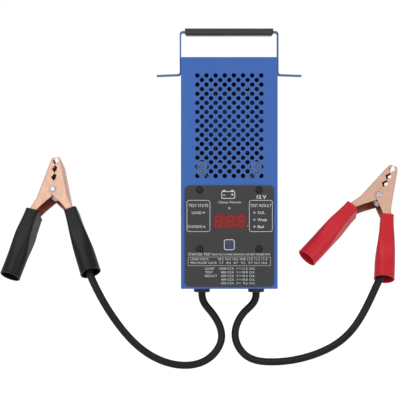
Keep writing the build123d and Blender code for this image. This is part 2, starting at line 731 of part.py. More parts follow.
def arm_plane(clamp, side, lean, distance, shift=0.0):
    """Plane across one arm, at a distance from its root, facing down the arm to its end."""
    along = clamp.x_dir * sin(radians(lean)) - clamp.y_dir * cos(radians(lean))
    across = clamp.x_dir * cos(radians(lean)) + clamp.y_dir * sin(radians(lean))
    root = clamp.from_local_coords((side * ARM_ROOT[0], ARM_ROOT[1], 0))
    origin = root + along * distance + across * (side * shift)
    return Plane(origin=origin, x_dir=across, z_dir=along)


def arm_point(side, lean, distance, shift):
    """Point beside an arm's centre line, on the clamp's plane; a positive shift is outward."""
    x = side * ARM_ROOT[0] + distance * sin(radians(lean)) + side * shift * cos(radians(lean))
    y = ARM_ROOT[1] - distance * cos(radians(lean)) + side * shift * sin(radians(lean))
    return (x, y)


def outer_edge(side, lean, arm_l):
    """Corner points down a jaw's outer edge, from the tip's inner corner to the arm's end."""
    return [
        (side * TIP_XS[0], TIP_Y),
        (side * TIP_XS[1], TIP_Y),
        (side * TIP_SHOULDER[0], TIP_SHOULDER[1]),
        (side * ELBOW[0], ELBOW[1]),
        arm_point(side, lean, 0, ARM_W / 2),
        arm_point(side, lean, arm_l, ARM_W / 2 - 0.6),
    ]


def inner_edge(side, lean):
    """Corner points up a jaw wall's inner edge, from the arm's end past the rivet to the teeth."""
    under_lug = (side * PIVOT_LUG_R * cos(radians(226.4)), PIVOT_LUG_R * sin(radians(226.4)))
    over_lug = (side * PIVOT_LUG_R * cos(radians(165)), PIVOT_LUG_R * sin(radians(165)))
    return [
        arm_point(side, lean, ARM_L, 0.6 - ARM_W / 2),
        arm_point(side, lean, 0, -ARM_W / 2),
        (side * 11.0, -17.0),
        under_lug,
        over_lug,
        (side * 0.05, 10.4),
        (side * 0.05, 38.4),
    ]


def bend_edges(jaw, clamp, side, lean, width):
    """Choose the long outer edges where a jaw's walls fold into its web."""
    corners = outer_edge(side, lean, ARM_L)[2:]
    middles = [((x0 + x1) / 2, (y0 + y1) / 2) for (x0, y0), (x1, y1) in zip(corners, corners[1:])]
    chosen = []
    for edge in jaw.edges():
        centre = clamp.to_local_coords(edge.center())
        on_face = abs(abs(centre.Z) - width / 2) < 0.01
        if on_face and any(abs(centre.X - x) + abs(centre.Y - y) < 0.5 for x, y in middles):
            chosen.append(edge)
    return chosen


def build_jaw(clamp, side, lean, width):
    """Build one pressed jaw: a channel with two toothed walls and a web along its outer edge."""
    tip_slope = (TIP_SHOULDER[0] - TIP_XS[1]) / (TIP_Y - TIP_SHOULDER[1])
    open_tip = (side * (TIP_XS[1] - TIP_OPENING * tip_slope), TIP_Y + TIP_OPENING)
    with BuildPart() as jaw:
        with BuildSketch(clamp) as wall:
            with BuildLine():
                Polyline(outer_edge(side, lean, ARM_L) + inner_edge(side, lean), close=True)
            make_face()
            fillet(wall.vertices().sort_by_distance((side * TIP_XS[0], TIP_Y))[0], radius=TIP_INNER_R)
            fillet(wall.vertices().sort_by_distance((side * TIP_XS[1], TIP_Y))[0], radius=TIP_OUTER_R)
            Circle(PIVOT_LUG_R)
            Circle(PIVOT_D / 2 + PIVOT_GAP, mode=Mode.SUBTRACT)
            for i in range(NOTCHES):
                middle = NOTCH_START + i * TOOTH_PITCH
                half = TOOTH_PITCH / 2
                with BuildLine():
                    Polyline(
                        (0, middle - half),
                        (side * TOOTH_DEPTH, middle),
                        (0, middle + half),
                        close=True,
                    )
                make_face(mode=Mode.SUBTRACT)
        extrude(amount=width / 2, both=True)
        fillet(bend_edges(jaw, clamp, side, lean, width), radius=JAW_BEND_R)
        with BuildSketch(clamp):
            with BuildLine():
                Polyline(
                    [open_tip]
                    + outer_edge(side, lean, ARM_L + 2 * CLAMP_SHEET)[2:]
                    + [(-side * 30, -70), (-side * 30, open_tip[1])],
                    close=True,
                )
            make_face()
            offset(amount=-CLAMP_SHEET)
        extrude(amount=width / 2 - CLAMP_SHEET, both=True, mode=Mode.SUBTRACT)
    return jaw


def ease(share, span):
    """Smooth step from 0 to 1 between the two ends of a span."""
    t = min(max((share - span[0]) / (span[1] - span[0]), 0), 1)
    return t * t * (3 - 2 * t)


def build_sleeve_body(clamp, side, lean, span, inset):
    """Loft a grip's body from a flat mouth over the arm to a round end; inset shrinks it all round."""
    overrun = 0.5 if inset else 0.0
    start, end = span
    mouth_shift = min(0.0, start) / 4  # a grip pushed past the root follows the jaw inward
    flat = (GRIP_MOUTH_W, GRIP_MOUTH_DEPTH, GRIP_MOUTH_R)
    round_end = (SLEEVE_D, SLEEVE_D, SLEEVE_D / 2 - 0.4)
    with BuildPart() as body:
        for i in range(SLEEVE_STATIONS):
            share = i / (SLEEVE_STATIONS - 1)
            widened = ease(share, SLEEVE_WIDENING)
            blend = ease(share, SLEEVE_ROUNDING)
            across = flat[0] + (round_end[0] - flat[0]) * widened
            through, corner = [a + (b - a) * blend for a, b in zip(flat[1:], round_end[1:])]
            distance = start - overrun + (end - start + 2 * overrun) * share
            with BuildSketch(arm_plane(clamp, side, lean, distance, mouth_shift * (1 - blend))):
                RectangleRounded(across - 2 * inset, through - 2 * inset, corner - inset)
        loft()
    return body


def build_grip(clamp, side, lean, span):
    """Build one hollow grip sleeve."""
    outside = build_sleeve_body(clamp, side, lean, span, 0)
    inside = build_sleeve_body(clamp, side, lean, span, SLEEVE_T)
    with BuildPart() as grip:
        add(outside.part)
        add(inside.part, mode=Mode.SUBTRACT)
    return grip


def build_spring(clamp):
    """Build the torsion spring: a coil round the rivet with one straight leg into each arm."""
    turns = SPRING_WHOLE_TURNS + (180 - 2 * SPRING_LEG_LEAN) / 360
    height = turns * SPRING_PITCH
    coil_plane = Plane(
        origin=clamp.from_local_coords((0, 0, -height / 2)),
        x_dir=clamp.x_dir.rotate(Axis((0, 0, 0), clamp.z_dir), 180 - SPRING_LEG_LEAN),
        z_dir=clamp.z_dir,
    )
    coil = coil_plane * Helix(SPRING_PITCH, height, SPRING_R, lefthand=True)
    with BuildPart() as spring:
        with BuildSketch(Plane(origin=coil @ 0, z_dir=coil % 0)):
            Circle(SPRING_WIRE_D / 2)
        sweep(path=coil, is_frenet=True)
        for end, direction in ((coil @ 0, -(coil % 0)), (coil @ 1, coil % 1)):
            with BuildSketch(Plane(origin=end, z_dir=direction)):
                Circle(SPRING_WIRE_D / 2)
            extrude(amount=SPRING_LEG_L)
    return spring


def build_rivet(clamp):
    """Build the pivot rivet, with a flat-domed head on each face."""
    face = CLAMP_W / 2
    top = face + PIVOT_HEAD_H
    with BuildPart() as rivet:
        with BuildSketch(Plane(origin=clamp.origin, x_dir=clamp.x_dir, z_dir=-clamp.y_dir)):
            with BuildLine():
                Polyline(
                    (0, -top),
                    (PIVOT_HEAD_D / 2 - 1.2, -top),
                    (PIVOT_HEAD_D / 2 - 0.3, -top + 0.5),
                    (PIVOT_HEAD_D / 2, -face),
                    (PIVOT_D / 2, -face),
                    (PIVOT_D / 2, face),
                    (PIVOT_HEAD_D / 2, face),
                    (PIVOT_HEAD_D / 2 - 0.3, top - 0.5),
                    (PIVOT_HEAD_D / 2 - 1.2, top),
                    (0, top),
                    close=True,
                )
            make_face()
        revolve(axis=Axis(clamp.origin, clamp.z_dir))
    return rivet


def build_crimp(clamp):
    """Build the barrel that holds the cable's core in the fixed arm."""
    with BuildPart() as crimp:
        with BuildSketch(arm_plane(clamp, 1, FIXED_LEAN, CRIMP_SPAN[0], CABLE_OFFSET)):
            Circle(CRIMP_D / 2)
            Circle(CORE_D / 2 + 0.1, mode=Mode.SUBTRACT)
        extrude(amount=CRIMP_SPAN[1] - CRIMP_SPAN[0])
    return crimp


def save_clamp(clamp, grip_spans, prefix):
    """Build and save the pieces of one clamp."""
    moving_w = CLAMP_W - 2 * (CLAMP_SHEET + JAW_GAP)
    save(build_jaw(clamp, 1, FIXED_LEAN, CLAMP_W), f"{prefix}_fixed_jaw")
    save(build_jaw(clamp, -1, MOVING_LEAN, moving_w), f"{prefix}_moving_jaw")
    save(build_grip(clamp, 1, FIXED_LEAN, grip_spans["fixed"]), f"{prefix}_fixed_grip")
    save(build_grip(clamp, -1, MOVING_LEAN, grip_spans["moving"]), f"{prefix}_moving_grip")
    save(build_spring(clamp), f"{prefix}_spring")
    save(build_rivet(clamp), f"{prefix}_pivot_rivet")
    save(build_crimp(clamp), f"{prefix}_cable_crimp")


# ---------------------------------------------------------------- leads
def build_rod(path, diameter):
    """Build a round rod along a path."""
    with BuildPart() as rod:
        with BuildSketch(Plane(origin=path @ 0, z_dir=path % 0)):
            Circle(diameter / 2)
        sweep(path=path)
    return rod


def save_lead(x, clamp, hang_points, sleeve_end, mouth_offset, prefix):
    """Build and save one lead: grommet, ring terminal, copper core and jacket."""
    grommet_low = -CASE_H / 2 - GROMMET_H
    with BuildPart() as grommet:
        with BuildSketch(Plane.XY.offset(-CASE_H / 2)):
            with Locations((x, MID_Y)):
                Circle(GROMMET_D / 2)
        extrude(amount=-GROMMET_H)
        fillet(grommet.faces().sort_by(Axis.Z)[0].edges(), radius=1.5)
        with BuildSketch(Plane.XY.offset(-CASE_H / 2)):
            with Locations((x, MID_Y)):
                Circle(GROMMET_NECK_D / 2)
        extrude(amount=SHEET)
        with BuildSketch(Plane.XY.offset(-CASE_H / 2 + SHEET)):
            with Locations((x, MID_Y)):
                Circle(GROMMET_D / 2)
        extrude(amount=3.0)
        with Locations((x, MID_Y, -CASE_H / 2)):
            Cylinder(CABLE_D / 2 + 0.1, 40, mode=Mode.SUBTRACT)
    save(grommet, f"{prefix}_grommet")

    with BuildPart() as terminal:
        with BuildSketch(facing_front(LUG_Y + 0.75)):
            with Locations((x, STUD_Z)):
                Circle(STUD_D)
                Rectangle(
                    LUG_BARREL_D - 0.6,
                    STUD_Z - LUG_BARREL_ZS[1],
                    align=(Align.CENTER, Align.MAX),
                )
                Circle(STUD_D / 2 + 0.1, mode=Mode.SUBTRACT)
        extrude(amount=1.5)
        with BuildSketch(Plane.XY.offset(LUG_BARREL_ZS[0])):
            with Locations((x, LUG_Y)):
                Circle(LUG_BARREL_D / 2)
        extrude(amount=LUG_BARREL_ZS[1] - LUG_BARREL_ZS[0])
        with BuildSketch(Plane.XY.offset(LUG_BARREL_ZS[0])):
            with Locations((x, LUG_Y)):
                Circle(CORE_D / 2 + 0.1)
        extrude(amount=11.0, mode=Mode.SUBTRACT)
    save(terminal, f"{prefix}_terminal")

    arm_along = arm_plane(clamp, 1, FIXED_LEAN, 0).z_dir
    sleeve_mouth = arm_plane(clamp, 1, FIXED_LEAN, sleeve_end, mouth_offset).origin
    jacket_end = arm_plane(clamp, 1, FIXED_LEAN, JACKET_END, CABLE_OFFSET).origin
    core_end = arm_plane(clamp, 1, FIXED_LEAN, CRIMP_SPAN[0], CABLE_OFFSET).origin
    hang_from = (x, MID_Y, grommet_low - 1.0)

    def draw_jacket_path():
        """Draw the jacket's centre line, from the ring terminal to inside the sleeve."""
        Spline(
            (x, LUG_Y, JACKET_TOP_Z),
            (x, MID_Y, -110.0),
            tangents=((0, 0, -1), (0, 0, -1)),
        )
        Line((x, MID_Y, -110.0), hang_from)
        Spline(
            hang_from,
            *hang_points,
            sleeve_mouth,
            jacket_end,
            tangents=((0, 0, -1), -arm_along),
        )

    with BuildLine() as jacket_route:
        draw_jacket_path()
    with BuildLine() as core_route:
        Line((x, LUG_Y, CORE_TOP_Z), (x, LUG_Y, JACKET_TOP_Z))
        draw_jacket_path()
        Line(jacket_end, core_end)

    core = build_rod(core_route.wires()[0], CORE_D)
    save(core, f"{prefix}_cable_core")

    core_space = build_rod(core_route.wires()[0], CORE_D + 0.1)
    jacket_outside = build_rod(jacket_route.wires()[0], CABLE_D)
    with BuildPart() as jacket:
        add(jacket_outside.part)
        add(core_space.part, mode=Mode.SUBTRACT)
    save(jacket, f"{prefix}_cable")


negative_clamp = clamp_plane(pivot=(-193.6, -10.0, -22.6), lean=24.3, turn=-9.9, spin=-0.4)
positive_clamp = clamp_plane(pivot=(167.1, -10.0, -28.5), lean=25.3, turn=0.5, spin=25.7)
save_clamp(negative_clamp, NEGATIVE_GRIP_SPANS, "negative")
save_clamp(positive_clamp, POSITIVE_GRIP_SPANS, "positive")

NEGATIVE_HANG = [
    (-20.6, -33.0, -152.2),
    (-8.3, -37.0, -181.8),
    (-23.3, -43.0, -204.8),
    (-49.6, -50.0, -211.4),
    (-89.0, -58.0, -198.2),
    (-121.9, -63.5, -165.3),
    (-143.0, -64.0, -131.5),
]
POSITIVE_HANG = [
    (18.3, -33.0, -152.2),
    (6.8, -37.0, -180.0),
    (20.0, -43.0, -202.0),
    (47.0, -49.0, -207.7),
    (86.2, -57.0, -201.5),
    (122.5, -62.0, -183.5),
    (145.5, -63.5, -155.5),
]
negative_end = NEGATIVE_GRIP_SPANS["fixed"][1]
positive_end = POSITIVE_GRIP_SPANS["fixed"][1]
save_lead(-LEAD_X, negative_clamp, NEGATIVE_HANG, negative_end, NEGATIVE_MOUTH_OFFSET, "negative")
save_lead(LEAD_X, positive_clamp, POSITIVE_HANG, positive_end, POSITIVE_MOUTH_OFFSET, "positive")
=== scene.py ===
import json
import math

import bmesh
import bpy
import numpy as np
from mathutils import Matrix, Vector


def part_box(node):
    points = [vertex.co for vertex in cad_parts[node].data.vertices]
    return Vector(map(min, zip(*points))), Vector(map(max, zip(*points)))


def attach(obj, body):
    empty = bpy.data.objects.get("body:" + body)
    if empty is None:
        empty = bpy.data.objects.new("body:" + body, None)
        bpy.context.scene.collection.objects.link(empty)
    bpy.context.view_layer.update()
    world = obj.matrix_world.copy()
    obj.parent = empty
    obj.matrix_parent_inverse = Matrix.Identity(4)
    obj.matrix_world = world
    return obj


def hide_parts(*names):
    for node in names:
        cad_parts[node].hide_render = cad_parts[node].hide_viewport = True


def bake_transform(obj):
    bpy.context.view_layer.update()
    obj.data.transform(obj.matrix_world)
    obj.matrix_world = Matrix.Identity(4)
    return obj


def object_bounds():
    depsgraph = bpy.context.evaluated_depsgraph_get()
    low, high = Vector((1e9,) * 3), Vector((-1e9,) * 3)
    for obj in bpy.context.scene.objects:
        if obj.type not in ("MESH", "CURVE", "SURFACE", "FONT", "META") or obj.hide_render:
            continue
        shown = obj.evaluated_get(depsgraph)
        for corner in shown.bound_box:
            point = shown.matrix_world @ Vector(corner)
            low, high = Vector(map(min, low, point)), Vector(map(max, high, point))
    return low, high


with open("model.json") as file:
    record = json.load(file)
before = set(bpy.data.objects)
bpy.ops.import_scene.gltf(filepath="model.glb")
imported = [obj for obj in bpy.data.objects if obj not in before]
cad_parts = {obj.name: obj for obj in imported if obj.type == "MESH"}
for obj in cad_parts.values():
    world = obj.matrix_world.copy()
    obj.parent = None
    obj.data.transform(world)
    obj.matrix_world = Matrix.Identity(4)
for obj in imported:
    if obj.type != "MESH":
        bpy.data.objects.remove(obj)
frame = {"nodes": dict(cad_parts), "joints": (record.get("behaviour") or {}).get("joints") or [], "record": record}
cad_low, cad_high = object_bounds()

MM = 0.001
NODES = frame["nodes"]
JOINTS = {joint["child"]: joint for joint in frame["joints"]}
SLOTS = {part["node"]: part["material_slot"] for part in frame["record"]["subparts"]}


# ---------------------------------------------------------------- materials

def srgb(red, green, blue):
    """A colour as seen on screen, 0 to 255, turned into linear light."""
    linear = []
    for value in (red, green, blue):
        share = value / 255
        linear.append(share / 12.92 if share <= 0.04045 else ((share + 0.055) / 1.055) ** 2.4)
    return (*linear, 1.0)


def scaled(color, factor):
    return (*[min(1.0, channel * factor) for channel in color[:3]], 1.0)


class Surface:
    """A procedural material: small methods that add nodes and return sockets."""

    def __init__(self, name):
        self.material = bpy.data.materials.new(name)
        self.material.use_nodes = True
        self.tree = self.material.node_tree
        self.shader = self.tree.nodes["Principled BSDF"]
        self.output = self.tree.nodes["Material Output"]
        self.place = self.add("ShaderNodeTexCoord").outputs["Object"]

    def add(self, kind, **values):
        node = self.tree.nodes.new(kind)
        for key, value in values.items():
            setattr(node, key, value)
        return node

    def feed(self, socket, value):
        if isinstance(value, bpy.types.NodeSocket):
            self.tree.links.new(value, socket)
        else:
            socket.default_value = value

    def stretched(self, scale):
        mapping = self.add("ShaderNodeMapping")
        self.feed(mapping.inputs["Vector"], self.place)
        mapping.inputs["Scale"].default_value = scale
        return mapping.outputs["Vector"]

    def noise(self, size_mm, detail=3.0, stretch=None):
        """Soft noise whose blobs are about size_mm wide."""
        node = self.add("ShaderNodeTexNoise")
        self.feed(node.inputs["Vector"], self.stretched(stretch) if stretch else self.place)
        node.inputs["Scale"].default_value = 1 / (size_mm * MM)
        node.inputs["Detail"].default_value = detail
        return node.outputs["Fac"]

    def spread(self, value, low, high, start=0.3, end=0.7):
        """Maps start..end to low..high, and stops there."""
        node = self.add("ShaderNodeMapRange")
        self.feed(node.inputs["Value"], value)
        node.inputs["From Min"].default_value = start
        node.inputs["From Max"].default_value = end
        node.inputs["To Min"].default_value = low
        node.inputs["To Max"].default_value = high
        return node.outputs["Result"]

    def combine(self, operation, first, second):
        node = self.add("ShaderNodeMath", operation=operation)
        self.feed(node.inputs[0], first)
        self.feed(node.inputs[1], second)
        return node.outputs[0]

    def mix(self, share, first, second, blend_type="MIX"):
        node = self.add("ShaderNodeMix", data_type="RGBA", blend_type=blend_type)
        self.feed(node.inputs[0], share)
        self.feed(node.inputs[6], first)
        self.feed(node.inputs[7], second)
        return node.outputs[2]

    def edges(self, radius_mm, samples=4):
        """1 on sharp outer edges, 0 on flat faces."""
        bevel = self.add("ShaderNodeBevel", samples=samples)
        bevel.inputs["Radius"].default_value = radius_mm * MM
        geometry = self.add("ShaderNodeNewGeometry")
        dot = self.add("ShaderNodeVectorMath", operation="DOT_PRODUCT")
        self.feed(dot.inputs[0], bevel.outputs["Normal"])
        self.feed(dot.inputs[1], geometry.outputs["Normal"])
        return self.spread(dot.outputs["Value"], 1.0, 0.0, 0.75, 0.99)

    def hidden(self, distance_mm, start=0.25, end=0.75):
        """1 deep inside a recess, 0 out in the open; it masks where shade is painted."""
        node = self.add("ShaderNodeAmbientOcclusion", samples=6)
        node.inputs["Distance"].default_value = distance_mm * MM
        return self.spread(node.outputs["AO"], 1.0, 0.0, start, end)

    def bump(self, height, depth_mm, normal=None):
        node = self.add("ShaderNodeBump")
        node.inputs["Distance"].default_value = depth_mm * MM
        self.feed(node.inputs["Height"], height)
        if normal is not None:
            self.feed(node.inputs["Normal"], normal)
        return node.outputs["Normal"]


def make_surface(name, color, *, tint=None, vary=0.1, vary_mm=14.0, rough=(0.4, 0.5), rough_mm=3.0,
                 metallic=0.0, grain_mm=0.5, grain_depth_mm=0.02, stretch=None, swell_mm=0.0,
                 swell_depth_mm=0.0, edge_wear_and_highlight=None, edge_wear_and_highlight_mm=0.35, edge_wear_and_highlight_share=0.6, shade=None,
                 shade_mm=12.0, shade_range=(0.25, 0.75), specular=0.5, coat=0.0, sheen=0.0,
                 round_mm=0.0):
    """One look: mottled colour, uneven gloss, fine grain, and where asked lighter edges (edge wear with a painted
    highlight) and painted shade in recesses.
    """
    look = Surface(name)
    mottle = look.noise(vary_mm)
    base = look.mix(look.spread(mottle, 0.0, 1.0), scaled(color, 1 - vary),
                    tint if tint else scaled(color, 1 + vary))
    speck = look.noise(grain_mm * 3, detail=2.0, stretch=stretch)
    base = look.mix(look.spread(speck, 0.0, 0.35), base, scaled(color, 1 - 2 * vary))
    metal = metallic
    # Painted shade: deep in recesses the colour is darkened towards the shade colour and the metal is made less
    # metallic.
    if shade:
        recess = look.hidden(shade_mm, *shade_range)
        base = look.mix(recess, base, shade)
        metal = look.combine("MULTIPLY", look.combine("SUBTRACT", 1.0, recess), metallic)
    # Edge wear and painted highlight: sharp outer edges are lightened towards the edge colour.
    if edge_wear_and_highlight:
        ragged = look.spread(look.noise(2.2, detail=5.0), 0.0, 1.0, 0.4, 0.6)
        share = look.combine("MULTIPLY", look.edges(edge_wear_and_highlight_mm), ragged)
        base = look.mix(look.combine("MULTIPLY", share, edge_wear_and_highlight_share), base, edge_wear_and_highlight)
    look.feed(look.shader.inputs["Base Color"], base)
    gloss = look.spread(look.noise(rough_mm, stretch=stretch), *rough)
    look.feed(look.shader.inputs["Roughness"], gloss)
    look.feed(look.shader.inputs["Metallic"], metal)
    look.shader.inputs["Specular IOR Level"].default_value = specular
    look.shader.inputs["Coat Weight"].default_value = coat
    look.shader.inputs["Sheen Weight"].default_value = sheen
    normal = None
    if round_mm:
        soft = look.add("ShaderNodeBevel", samples=4)
        soft.inputs["Radius"].default_value = round_mm * MM
        normal = soft.outputs["Normal"]
    if swell_mm:
        normal = look.bump(look.noise(swell_mm, detail=1.0), swell_depth_mm, normal)
    normal = look.bump(look.noise(grain_mm, detail=2.0, stretch=stretch), grain_depth_mm, normal)
    look.feed(look.shader.inputs["Normal"], normal)
    return look.material


def make_window(name):
    """The red lens over the display: it tints what is behind it and has a soft shine."""
    look = Surface(name)
    look.feed(look.shader.inputs["Base Color"],
              look.mix(look.noise(6.0), srgb(134, 66, 66), srgb(120, 56, 58)))
    look.feed(look.shader.inputs["Roughness"], look.spread(look.noise(2.0), 0.18, 0.3))
    look.feed(look.shader.inputs["Normal"], look.bump(look.noise(0.6), 0.01))
    clear = look.add("ShaderNodeBsdfTransparent")
    clear.inputs["Color"].default_value = srgb(252, 186, 186)
    mixed = look.add("ShaderNodeMixShader")
    mixed.inputs[0].default_value = 0.35
    look.feed(mixed.inputs[1], clear.outputs[0])
    look.feed(mixed.inputs[2], look.shader.outputs[0])
    look.feed(look.output.inputs["Surface"], mixed.outputs[0])
    return look.material


# Painted shade for the copper jaws: the colour laid deep inside their channels.
COPPER_PAINTED_SHADE = srgb(150, 52, 38)

# In every look below, shade is a painted shade colour laid into recesses, and the edge colour is edge wear with a
# painted highlight.
LOOKS = {
    "blue_paint": make_surface(
        "blue_powder_coat", srgb(50, 88, 156), vary=0.05, vary_mm=40.0, specular=0.25,
        rough=(0.4, 0.52), grain_mm=0.45, grain_depth_mm=0.015, swell_mm=1.6, swell_depth_mm=0.03,
        edge_wear_and_highlight=srgb(92, 122, 180), edge_wear_and_highlight_mm=0.5,
        edge_wear_and_highlight_share=0.4, shade=srgb(9, 15, 32), shade_mm=30.0, shade_range=(0.15, 0.5)),
    "zinc": make_surface(
        "zinc_plate", srgb(180, 182, 190), vary=0.08, vary_mm=5.0, rough=(0.36, 0.5), rough_mm=1.2,
        metallic=1.0, grain_mm=0.25, grain_depth_mm=0.008, edge_wear_and_highlight=srgb(245, 246, 250), edge_wear_and_highlight_mm=0.3,
        shade=srgb(120, 122, 128), shade_mm=5.0),
    "grip_rubber": make_surface(
        "handle_vinyl", srgb(24, 23, 24), vary=0.12, vary_mm=20.0, rough=(0.38, 0.5), grain_mm=0.6,
        grain_depth_mm=0.02, swell_mm=14.0, swell_depth_mm=0.12, edge_wear_and_highlight=srgb(72, 68, 66), edge_wear_and_highlight_mm=0.6,
        edge_wear_and_highlight_share=0.35),
    "label": make_surface(
        "velvet_overlay", srgb(52, 52, 53), vary=0.05, vary_mm=30.0, rough=(0.5, 0.62), grain_mm=0.3,
        grain_depth_mm=0.012, edge_wear_and_highlight=srgb(104, 104, 104), edge_wear_and_highlight_mm=0.3, edge_wear_and_highlight_share=0.4, specular=0.2),
    # Painted shade: a dark navy steel for fittings inside the case, darkening the inside seen through the vents.
    "dark_steel": make_surface(
        "shade_darkened_steel", srgb(30, 33, 42), vary=0.12, vary_mm=6.0, rough=(0.45, 0.6), grain_mm=0.3,
        grain_depth_mm=0.01, specular=0.2, edge_wear_and_highlight=srgb(70, 74, 84), edge_wear_and_highlight_mm=0.3, edge_wear_and_highlight_share=0.5),
    "window": make_window("red_lens"),
    "digits": make_surface(
        "segment_bars", srgb(232, 122, 126), vary=0.06, vary_mm=2.0, rough=(0.45, 0.6), grain_mm=0.3,
        grain_depth_mm=0.01),
    "display_body": make_surface(
        "display_face", srgb(132, 92, 90), vary=0.06, vary_mm=3.0, rough=(0.5, 0.65), grain_mm=0.3,
        grain_depth_mm=0.01),
    "key": make_surface(
        "navy_key", srgb(34, 38, 80), tint=srgb(44, 48, 92), vary=0.08, vary_mm=2.5,
        rough=(0.35, 0.5), grain_mm=0.35, grain_depth_mm=0.02, edge_wear_and_highlight=srgb(110, 116, 158), edge_wear_and_highlight_mm=0.5,
        edge_wear_and_highlight_share=0.5),
    "black_plastic": make_surface(
        "black_nylon", srgb(7, 7, 7), specular=0.3, vary=0.12, vary_mm=3.0, rough=(0.42, 0.58),
        grain_mm=0.35, grain_depth_mm=0.02, edge_wear_and_highlight=srgb(60, 60, 60), edge_wear_and_highlight_mm=0.3, edge_wear_and_highlight_share=0.3),
    "board": make_surface(
        "solder_mask", srgb(22, 96, 56), vary=0.12, vary_mm=6.0, rough=(0.3, 0.45), grain_mm=0.8,
        grain_depth_mm=0.03, edge_wear_and_highlight=srgb(150, 140, 90), edge_wear_and_highlight_mm=0.3),
    "ribbon": make_surface(
        "heat_tinted_ribbon", srgb(74, 74, 80), tint=srgb(84, 78, 74), vary=0.2, vary_mm=10.0,
        rough=(0.4, 0.55), metallic=0.7, grain_mm=0.3, grain_depth_mm=0.01, stretch=(1, 1, 0.08)),
    "brass": make_surface(
        "brass_strip", srgb(206, 172, 108), vary=0.1, vary_mm=4.0, rough=(0.25, 0.42), metallic=1.0,
        grain_mm=0.3, grain_depth_mm=0.01, shade=srgb(120, 84, 44), shade_mm=5.0),
    # Painted shade: the insulators inside the case are coloured dark navy so the inside seen through the vents
    # looks dark.
    "insulator": make_surface(
        "shade_darkened_laminate", srgb(28, 30, 40), tint=srgb(36, 36, 44), vary=0.14, vary_mm=5.0,
        rough=(0.5, 0.7), grain_mm=0.5, grain_depth_mm=0.04, specular=0.2, edge_wear_and_highlight=srgb(70, 70, 76)),
    "wire": make_surface(
        "wire_jacket", srgb(196, 190, 174), vary=0.1, vary_mm=8.0, rough=(0.3, 0.45), grain_mm=0.6,
        grain_depth_mm=0.02, coat=0.2),
    "led": make_surface(
        "lamp_epoxy", srgb(150, 152, 154), tint=srgb(176, 178, 180), vary=0.08, vary_mm=1.5,
        rough=(0.16, 0.28), grain_mm=0.4, grain_depth_mm=0.01, coat=0.3),
    "copper_plate": make_surface(
        "copper_plate", srgb(204, 168, 144), tint=srgb(208, 166, 150), vary=0.07, vary_mm=16.0,
        rough=(0.46, 0.6), rough_mm=5.0, metallic=0.6, grain_mm=0.35, grain_depth_mm=0.01,
        swell_mm=7.0, swell_depth_mm=0.08, edge_wear_and_highlight=srgb(246, 212, 192), edge_wear_and_highlight_mm=0.5, edge_wear_and_highlight_share=0.4,
        specular=0.3, shade=COPPER_PAINTED_SHADE, shade_mm=26.0, shade_range=(0.3, 0.72)),
    "black_sleeve": make_surface(
        "black_dip", srgb(9, 9, 10), vary=0.1, vary_mm=18.0, rough=(0.44, 0.52), rough_mm=9.0,
        grain_mm=0.5, grain_depth_mm=0.006, swell_mm=16.0, swell_depth_mm=0.12, specular=0.22,
        edge_wear_and_highlight=srgb(36, 36, 38), edge_wear_and_highlight_mm=0.5, edge_wear_and_highlight_share=0.3),
    "red_sleeve": make_surface(
        "red_dip", srgb(182, 22, 36), tint=srgb(188, 28, 42), vary=0.06, vary_mm=18.0,
        rough=(0.46, 0.54), rough_mm=9.0, grain_mm=0.5, grain_depth_mm=0.006, swell_mm=16.0,
        swell_depth_mm=0.12, specular=0.25, edge_wear_and_highlight=srgb(200, 64, 74), edge_wear_and_highlight_mm=0.5, edge_wear_and_highlight_share=0.3,
        shade=srgb(120, 0, 12), shade_mm=10.0, shade_range=(0.15, 0.6)),
    "cable_jacket": make_surface(
        "cable_jacket", srgb(11, 11, 12), vary=0.1, vary_mm=16.0, rough=(0.5, 0.6), rough_mm=8.0,
        grain_mm=0.6, grain_depth_mm=0.006, swell_mm=12.0, swell_depth_mm=0.05, specular=0.22),
    "copper": make_surface(
        "copper_strands", srgb(214, 142, 104), vary=0.15, vary_mm=2.0, rough=(0.28, 0.44),
        metallic=1.0, grain_mm=0.5, grain_depth_mm=0.15, shade=srgb(96, 40, 24), shade_mm=4.0),
    "tinned": make_surface(
        "tin_plate", srgb(210, 208, 204), vary=0.08, vary_mm=4.0, rough=(0.26, 0.42), metallic=1.0,
        grain_mm=0.4, grain_depth_mm=0.015, edge_wear_and_highlight=srgb(240, 238, 232), shade=srgb(110, 106, 100),
        shade_mm=6.0),
    "grommet_rubber": make_surface(
        "grommet_rubber", srgb(16, 16, 18), vary=0.12, vary_mm=5.0, rough=(0.45, 0.6), grain_mm=0.5,
        grain_depth_mm=0.03, edge_wear_and_highlight=srgb(76, 76, 80), edge_wear_and_highlight_mm=0.5, edge_wear_and_highlight_share=0.3),
    "label_ink": make_surface(
        "label_ink", srgb(186, 186, 190), vary=0.06, vary_mm=4.0, rough=(0.5, 0.65), grain_mm=0.25,
        grain_depth_mm=0.008),
}

# These fittings inside the case get the dark steel instead of their own finish, as painted shade.
SHADE_DARKENED_FITTINGS = ("upper_bracket", "lower_bracket", "heat_shield")

for node_name, node in NODES.items():
    look_name = "dark_steel" if node_name in SHADE_DARKENED_FITTINGS else SLOTS[node_name]
    node.data.materials.clear()
    node.data.materials.append(LOOKS[look_name])


# ---------------------------------------------------------------- mesh helpers

def add_piece(name, mesh, look, body=None):
    mesh.materials.clear()
    mesh.materials.append(LOOKS[look])
    piece = bpy.data.objects.new(name, mesh)
    bpy.context.scene.collection.objects.link(piece)
    if body:
        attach(piece, body)
    return piece


